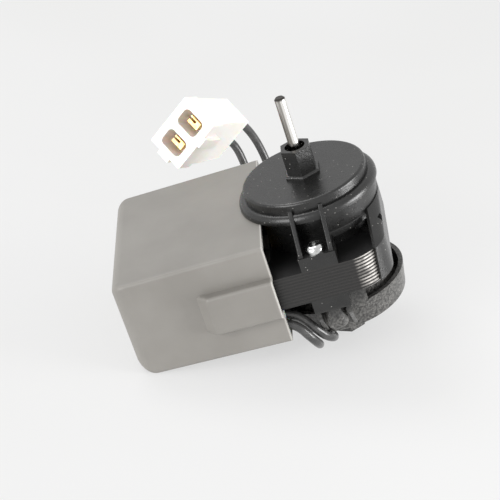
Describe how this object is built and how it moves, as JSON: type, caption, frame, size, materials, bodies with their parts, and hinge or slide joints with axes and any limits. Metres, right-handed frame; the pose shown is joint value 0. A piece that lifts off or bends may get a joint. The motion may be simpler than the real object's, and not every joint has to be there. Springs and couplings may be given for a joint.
{
  "type": "shaded pole evaporator fan motor",
  "caption": "Skeleton-frame shaded pole motor with moulded end bells, a boxed coil cover, an upright round shaft, hexagonal mounting bosses and two leads to a plug.",
  "frame": {"origin": "centre of the front bell's flat outer face, on the shaft axis", "axes": "+Z along the shaft out of the front bell, +X from the coil towards the rotor end, +Y across the stack, away from the camera"},
  "size_m": [0.0799, 0.1002, 0.0776],
  "materials": {
    "stamped_steel_lacquered": "black lacquered lamination stack",
    "bare_steel": "ground steel",
    "zinc_plated_steel": "bright zinc plate",
    "copper": "bare copper",
    "enamelled_copper": "enamelled copper wire",
    "cast_aluminium": "die cast",
    "sintered_bronze": "sintered, oiled",
    "oiled_felt": "wool felt",
    "black_polyester": "semi-gloss black moulding",
    "grey_nylon": "satin grey moulding",
    "white_nylon": "natural white moulding",
    "polyester_tape": "yellow insulating tape",
    "black_pvc": "black cable insulation",
    "tinned_brass": "stamped brass"
  },
  "bodies": {
    "motor_frame": {"stator_stack": "stamped_steel_lacquered", "coil_core_bar": "stamped_steel_lacquered", "shading_rings": "copper", "coil_bobbin": "white_nylon", "coil_winding": "enamelled_copper", "winding_terminals": "tinned_brass", "coil_tape": "polyester_tape", "coil_cover": "grey_nylon", "front_bell": "black_polyester", "rear_bell": "black_polyester", "bell_screws": "zinc_plated_steel", "front_bearing": "sintered_bronze", "rear_bearing": "sintered_bronze", "front_oil_felt": "oiled_felt", "rear_oil_felt": "oiled_felt", "front_bearing_retainer": "zinc_plated_steel", "rear_bearing_retainer": "zinc_plated_steel", "lead_1": "black_pvc", "lead_2": "black_pvc", "plug_housing": "white_nylon", "plug_contacts": "tinned_brass"},
    "rotor": {"rotor_shaft": "bare_steel", "rotor_core": "bare_steel", "rotor_cage": "cast_aluminium", "front_thrust_washer": "sintered_bronze", "rear_thrust_washer": "sintered_bronze", "front_spacer_sleeve": "black_polyester", "rear_spacer_sleeve": "black_polyester"}
  },
  "joints": [
    {"name": "rotor_spin", "type": "hinge", "parent": "motor_frame", "child": "rotor", "pos_m": [0, 0, 0], "axis": [0, 0, 1], "continuous": true}
  ]
}
